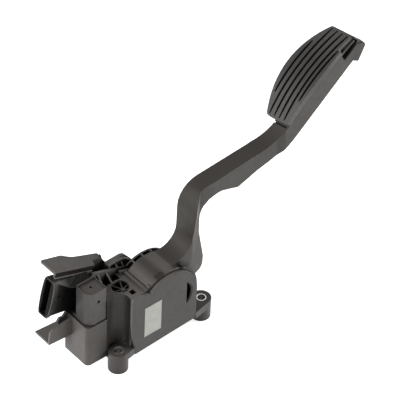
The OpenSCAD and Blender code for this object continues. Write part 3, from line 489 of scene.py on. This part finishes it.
# Cap web. The sloping web from the top of the socket to the back of the tower, which
# stiffens the socket. It is moulded with the cap, and painted darker towards the tower as shade.
web_t = 1.2
web_front = [(-40.2, 28.9, 95.4), (-29.2, 24.5, 87.3), (-25.5, 21.8, 87.6), (-9.5, 21.8, 86.5)]
web_back = [(-9.5, 29.2, 88.4), (-18.5, 29.2, 90.4), (-29.0, 29.2, 92.9)]
web_top = web_front + web_back
web_points = web_top + [(x, y, z - web_t) for x, y, z in web_top]
web_tops = [(0, 1, 6), (1, 5, 6), (1, 2, 5), (2, 4, 5), (2, 3, 4)]
web_count = len(web_top)
web_faces = web_tops + [tuple(web_count + i for i in reversed(face)) for face in web_tops]
web_faces += [(i, (i + 1) % web_count, web_count + (i + 1) % web_count, web_count + i)
              for i in range(web_count)]
web_nylon = clouded_nylon("web_nylon", 0.9, 0.2)
# Painted shade, darker towards the tower.
tower_shade = share_along(web_nylon.node_tree, (1, 0, 0), -0.040, -0.029)
toned(web_nylon, tower_shade, (0.012, 0.012, 0.0105), under_shade=True)
dulled(web_nylon, share_along(web_nylon.node_tree, (1, 0, 0), -0.038, -0.029), 0.03)
piece("cap_web", web_points, web_faces, web_nylon, "housing")

# Sheet guard. A stiff nylon sheet over the socket that keeps a shoe off the plug, on a
# foot behind the far wall. It is a paler copy of the nylon as painted light. Its lip is
# mottled where the mould parts and painted dark as shade, over a smooth bead, and a
# gusset props its foot.
# A paler copy of the nylon as painted light.
guard_lit_nylon = clouded_nylon("guard_lit_nylon", 1.3, 0.3)
guard_tree = guard_lit_nylon.node_tree
# The lip is mottled and painted dark as shade.
lip_mottle_and_shade = share_along(guard_tree, (0, 1, 0), 0.0303, 0.0301)
lip_cloud = cloud(guard_tree, 0.0022, 3.0, (1, 1, 2.5))
toned(guard_lit_nylon, lip_mottle_and_shade, ramp(guard_tree, lip_cloud, (0, 0, 0), (0.022, 0.018, 0.016), 0.0, 1.0))
dulled(guard_lit_nylon, lip_mottle_and_shade, 0.08)
dress("upper_guard", guard_lit_nylon)
guard_place, guard_tilt, guard_y = (-3.1, 90.0), 20, 30
bead = [(-37.2, -5.2), (-8.5, -5.2), (-5.8, -8.4), (0.6, -8.6), (1.6, -6), (1.6, -3.9), (-37.2, -3.9)]
plate("guard_bead", bead, guard_y - 0.5, guard_y + 1.2, nylon, "housing", guard_place, guard_tilt)
gusset = [(12.2, 87), (13.4, 82.6), (14.6, 79.8), (18.2, 74.8), (22.6, 69), (19.5, 67.5), (11.9, 76)]
plate("guard_gusset", gusset, 38.1, 40.1, nylon, "housing")

# Fixing sleeves, pin and clip. Turned steel tubes pressed into the three bosses, so that
# the screws don't crush the plastic, and the turned pin of the hinge with its clip. All
# are zinc plated, which leaves them a little cloudy.


def plated(name, colour, roughness):
    """A turned, drawn or sintered metal, cloudy in its plating, with painted shade in its recesses."""
    made, tree, shader = finish_of(name, colour, roughness, metallic=1.0)
    worn = tuple(0.9 * part for part in colour)
    metal = ramp(tree, cloud(tree, 0.002), worn, colour)
    tree.links.new(painted_recess_shade(tree, metal, 0.006, 0.15), shader.inputs["Base Color"])
    uneven_gloss(tree, shader, cloud(tree, 0.0015, 2.0), roughness - 0.08, roughness + 0.1)
    grain(tree, shader, 0.0004, 0.00001, 0.0002)
    return made


steel = plated("plated_steel", (0.62, 0.61, 0.59), 0.32)
for node in ("sleeve_front", "sleeve_rear", "sleeve_far", "pivot_pin", "pin_clip"):
    dress(node, steel)

# Side cover. The nylon wall on the label side, welded to the housing: its dome seats the
# pin, with a slot beside it that is painted dark as shade. Its grain is shallower than
# the housing's, and its edges have a painted highlight.
cover_nylon = moulded("cover_nylon", (0.029, 0.027, 0.025), (0.036, 0.033, 0.030), 0.42,
                      0.00002, 0.0006, least=0.5)
cover_tree = cover_nylon.node_tree
# Painted highlight on the edges.
rim_highlight = share_along(cover_tree, (0, -1, 0), 0.8, 0.4, "Normal")
toned(cover_nylon, rim_highlight, (0.095, 0.087, 0.080), under_shade=True)
# Painted shade in the slot.
slot_shade = all_of(cover_tree,
                 within(cover_tree, (1, 0, 0), 0.0635, 0.0700),
                 within(cover_tree, (0, 0, 1), 0.036, 0.061),
                 share_along(cover_tree, (0, 1, 0), -0.0061, -0.0058))
toned(cover_nylon, slot_shade, (0.010, 0.008, 0.007))
dress("side_cover", cover_nylon)

# Label. A pale film with a glued back, stuck flat on the cover and bare here. It has
# yellowed a little in patches.


def mottled(tree, shader, size, dark, pale, detail=3.0):
    """A base colour that goes between two shades, in patches of that size in metres."""
    tree.links.new(ramp(tree, cloud(tree, size, detail), dark, pale), shader.inputs["Base Color"])


label_film, label_tree, label_shader = finish_of("label_film", (0.31, 0.32, 0.28), 0.5)
mottled(label_tree, label_shader, 0.006, (0.28, 0.29, 0.26), (0.34, 0.35, 0.31))
grain(label_tree, label_shader, 0.0008, 0.00001, 0.0001)
dress("label_plate", label_film)

# Seal and stops. Soft black rubber with a dull bloom: the gasket that is pressed between
# box and cap, and the two buffers on the housing's ledges that end the pedal's travel.
seal_rubber, seal_tree, seal_shader = finish_of("seal_rubber", (0.012, 0.012, 0.012), 0.7, 0.3)
mottled(seal_tree, seal_shader, 0.003, (0.012, 0.012, 0.012), (0.02, 0.02, 0.02), 4.0)
uneven_gloss(seal_tree, seal_shader, cloud(seal_tree, 0.002), 0.66, 0.76)
grain(seal_tree, seal_shader, 0.0005, 0.00002, 0.0004)
for node in ("cap_seal", "idle_stop", "full_stop"):
    dress(node, seal_rubber)

# Sensor parts. The track board on the cover, the acetal carrier on the pedal's hub with
# its two sprung contacts, the acetal friction ring, and the six tinned terminals in the
# plug socket.
acetal, acetal_tree, acetal_shader = finish_of("acetal", (0.72, 0.70, 0.65), 0.35)
grain(acetal_tree, acetal_shader, 0.0008, 0.00001, 0.0003)
board, board_tree, board_shader = finish_of("track_board", (0.03, 0.14, 0.07), 0.4)
mottled(board_tree, board_shader, 0.004, (0.02, 0.11, 0.05), (0.05, 0.17, 0.09))
tinned = plated("tinned_brass", (0.75, 0.62, 0.36), 0.3)
for node, finish in (("friction_ring", acetal), ("wiper_carrier", acetal), ("track_board", board),
                     ("wiper_contacts", tinned), ("terminals", tinned)):
    dress(node, finish)

# Terminal seats. Each pin stands in a tapered seat of nylon moulded on the floor of the
# socket, which keeps the plug's seal off it. One node tree sets them in a row.


def row_tree():
    """A node tree that stands tapered seats in a row, on end along the row's own Z."""
    tree = bpy.data.node_groups.new("seat_row", "GeometryNodeTree")
    tree.interface.new_socket("Geometry", in_out="INPUT", socket_type="NodeSocketGeometry")
    for socket in ("Seats", "Pitch", "Foot radius", "Top radius", "Height"):
        kind = "NodeSocketInt" if socket == "Seats" else "NodeSocketFloat"
        tree.interface.new_socket(socket, in_out="INPUT", socket_type=kind)
    tree.interface.new_socket("Finish", in_out="INPUT", socket_type="NodeSocketMaterial")
    tree.interface.new_socket("Geometry", in_out="OUTPUT", socket_type="NodeSocketGeometry")
    given = tree.nodes.new("NodeGroupInput")
    result = tree.nodes.new("NodeGroupOutput")
    step = tree.nodes.new("ShaderNodeCombineXYZ")
    places = tree.nodes.new("GeometryNodeMeshLine")
    seat = tree.nodes.new("GeometryNodeMeshCone")
    seat.inputs["Vertices"].default_value = 16
    stood = tree.nodes.new("GeometryNodeInstanceOnPoints")
    real = tree.nodes.new("GeometryNodeRealizeInstances")
    finished = tree.nodes.new("GeometryNodeSetMaterial")
    tree.links.new(given.outputs["Pitch"], step.inputs["X"])
    tree.links.new(given.outputs["Seats"], places.inputs["Count"])
    tree.links.new(step.outputs["Vector"], places.inputs["Offset"])
    tree.links.new(given.outputs["Foot radius"], seat.inputs["Radius Bottom"])
    tree.links.new(given.outputs["Top radius"], seat.inputs["Radius Top"])
    tree.links.new(given.outputs["Height"], seat.inputs["Depth"])
    tree.links.new(places.outputs["Mesh"], stood.inputs["Points"])
    tree.links.new(seat.outputs["Mesh"], stood.inputs["Instance"])
    tree.links.new(stood.outputs["Instances"], real.inputs["Geometry"])
    tree.links.new(real.outputs["Geometry"], finished.inputs["Geometry"])
    tree.links.new(given.outputs["Finish"], finished.inputs["Material"])
    tree.links.new(finished.outputs["Geometry"], result.inputs["Geometry"])
    return tree


def from_tree(name, tree, values, place, body):
    """A plain mesh piece from a node tree, its inputs set by name, laid out by the matrix place."""
    holder = put(name, bpy.data.meshes.new(name))
    made_by = holder.modifiers.new("tree", "NODES")
    made_by.node_group = tree
    for socket, value in values.items():
        made_by[tree.interface.items_tree[socket].identifier] = value
    evaluated = holder.evaluated_get(bpy.context.evaluated_depsgraph_get())
    mesh = bpy.data.meshes.new_from_object(evaluated)
    mesh.transform(place)
    holder.modifiers.remove(made_by)
    holder.data = mesh
    mesh.name = name
    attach(holder, body)


pins, pin_pitch, seats_before_root = 6, 0.0048, 0.0076
row_middle = socket_root / 1000 - socket_axis * seats_before_root
seat_place = Matrix((up_socket, Vector((0, 1, 0)), -socket_axis)).transposed().to_4x4()
seat_place.translation = row_middle - up_socket * (pins - 1) / 2 * pin_pitch
# The seats take the socket's black of painted shade.
seat_sizes = {"Seats": pins, "Pitch": pin_pitch, "Foot radius": 0.0016, "Top radius": 0.001,
              "Height": 0.0014, "Finish": socket_shade_black}
from_tree("terminal_seats", row_tree(), seat_sizes, seat_place, "housing")

# Bushes and springs. Two sintered bronze bushes in the hub run on the pin, and two
# coils of oiled spring wire round the hub return the pedal, one inside the other.
bronze = plated("sintered_bronze", (0.42, 0.28, 0.14), 0.5)
wire = plated("spring_wire", (0.30, 0.29, 0.28), 0.35)
for node, finish in (("bush_near", bronze), ("bush_far", bronze), ("spring_outer", wire),
                     ("spring_inner", wire)):
    dress(node, finish)

# Pedal arm. One long moulding from the drum to the hooked end, hollow and ribbed below,
# hung on the pin by its hub. It comes smoother than the housing and a little browner. Over
# the drum it has painted reflections in pale and dark bands, a painted shadow patch and a
# dark spot of painted shade in the dimple beside it. Its sides are painted paler as light,
# and its faces towards the plug end darker as shade.
drum_start, arm_start = 0.030, 0.060
# Pale and dark bands across the drum are painted reflections.
paler, darker = (0.078, 0.072, 0.066, 1), (0.032, 0.028, 0.024, 1)
drum_reflection_bands = ((0.0305, paler), (0.0375, darker), (0.0405, darker), (0.0455, paler), (0.0515, paler),
              (0.0535, darker))
arm_nylon, arm_tree, arm_shader = finish_of("arm_nylon", (0.035, 0.031, 0.027), 0.5, 0.25)
bands = arm_tree.nodes.new("ShaderNodeValToRGB")
for place_x, tone in drum_reflection_bands:
    band = bands.color_ramp.elements.new((place_x - drum_start) / (arm_start - drum_start))
    band.color = tone
for default_band in (-1, 0):
    bands.color_ramp.elements.remove(bands.color_ramp.elements[default_band])
arm_tree.links.new(share_along(arm_tree, (1, 0, 0), drum_start, arm_start), bands.inputs["Fac"])
arm_colour = painted_recess_shade(arm_tree, bands.outputs["Color"], 0.008, 0.15)
arm_tree.links.new(arm_colour, arm_shader.inputs["Base Color"])
# Painted light on the arm's sides.
lit_flank = share_along(arm_tree, (0, 1, 0), -0.35, -0.65, "Normal")
flank_painted_light = ramp(arm_tree, cloud(arm_tree, 0.012, 4.0), (0.031, 0.028, 0.025), (0.037, 0.034, 0.030))
toned(arm_nylon, lit_flank, flank_painted_light, under_shade=True)
uneven_gloss(arm_tree, arm_shader, cloud(arm_tree, 0.004), 0.46, 0.58)
grain(arm_tree, arm_shader, 0.00055, 0.00001, 0.0006)
# Painted shade on the faces that turn towards the plug end.
plug_end_shade = share_along(arm_tree, (-1, 0, 0), 0.7, 0.98, "Normal")
toned(arm_nylon, plug_end_shade, (0.022, 0.019, 0.016), under_shade=True)
pad_foot, pad_angle, pad_l = (169.4, 158.0), 40.9, 87
up_pad = Vector((math.cos(math.radians(pad_angle)), 0, math.sin(math.radians(pad_angle))))
pad_foot_along = up_pad.dot(Vector((pad_foot[0], 0, pad_foot[1])))
hook_start = (pad_foot_along + pad_l - 16) / 1000
on_hook = share_along(arm_tree, up_pad, hook_start, hook_start + 0.004)
toned(arm_nylon, on_hook, (0.020, 0.018, 0.016), under_shade=True)
# A painted shadow patch on the drum beside the cover.
painted_shadow_patch = all_of(arm_tree,
                    within(arm_tree, (1, 0, 0), 0.0350, 0.0425, 0.0006),
                    share_along(arm_tree, (0, 1, 0), 0.0020, 0.0004))
toned(arm_nylon, painted_shadow_patch, (0.014, 0.010, 0.008))
# A dark spot of painted shade in the dimple, and duller there too.
dimple = share_round(arm_tree, (0.0600, -0.0012, 0.0763), 0.0018, 0.0046)
toned(arm_nylon, dimple, (0.006, 0.005, 0.004))
dulled(arm_nylon, dimple, 0.02)
dress("pedal_arm", arm_nylon)

# Drum lip. The thin edge of the drum beside the cover, which turns with the arm. It is
# moulded in one with the arm, with a chamfer on its outer corner.
drum_middle, drum_r = (46.3, 48.5), 31.0
lip_profile = ((26.5, -3.6), (30.4, -3.6), (drum_r, -3.1), (drum_r, -1.3), (26.5, -1.3))
lip_steps, lip_from, lip_to = 52, 70, 200
lip_points = []
for i in range(lip_steps + 1):
    turned_by = math.radians(lip_from + (lip_to - lip_from) * i / lip_steps)
    lip_points += [(drum_middle[0] + r * math.cos(turned_by), y, drum_middle[1] + r * math.sin(turned_by))
                   for r, y in lip_profile]
in_ring = len(lip_profile)
lip_faces = [tuple(range(in_ring)), tuple(in_ring * lip_steps + i for i in reversed(range(in_ring)))]
lip_faces += [(in_ring * i + a, in_ring * i + (a + 1) % in_ring,
               in_ring * (i + 1) + (a + 1) % in_ring, in_ring * (i + 1) + a)
              for i in range(lip_steps) for a in range(in_ring)]
piece("drum_lip", lip_points, lip_faces, arm_nylon, "pedal")

# Recess floor. The floor of the recess between the pad's seat and the hook, in the arm's
# own nylon and moulded with it.
recess = [(pad_l - 18, -9.6), (pad_l - 3, -9.6), (pad_l - 2.4, -4.2), (pad_l - 18, -4.2)]
plate("recess_floor", recess, 5.5, 6.6, arm_nylon, "pedal", pad_foot, -pad_angle)

# Pedal pad. A rubber cover moulded on to the arm's seat, with lengthwise grooves that a
# shoe grips, darkened with painted shade. Its matt face has pale specks of the filler in
# it, and is painted darker in the middle, standing in for the reflections of its crown.
pad_rubber, pad_tree, pad_shader = finish_of("pad_rubber", (0.05, 0.05, 0.05), 0.62, 0.35)
specks = pad_tree.nodes.new("ShaderNodeTexVoronoi")
specks.inputs["Scale"].default_value = 1500
pad_where = pad_tree.nodes.new("ShaderNodeTexCoord")
pad_tree.links.new(pad_where.outputs["Object"], specks.inputs["Vector"])
pale_speck, plain_rubber = (0.128, 0.122, 0.117), (0.053, 0.050, 0.047)
specked = ramp(pad_tree, specks.outputs["Distance"], pale_speck, plain_rubber, 0.05, 0.4)
pad_tree.links.new(painted_recess_shade(pad_tree, specked, 0.008, 0.03), pad_shader.inputs["Base Color"])
grain(pad_tree, pad_shader, 0.0006, 0.00004, 0.0008)
pad_middle = (pad_foot_along + 0.55 * pad_l) / 1000
# Painted shade in the middle of the pad's length.
pad_middle_shade = within(pad_tree, up_pad, pad_middle - 0.018, pad_middle + 0.018, 0.010)
toned(pad_rubber, pad_middle_shade, (0.030, 0.028, 0.026), under_shade=True)
dress("pedal_pad", pad_rubber)
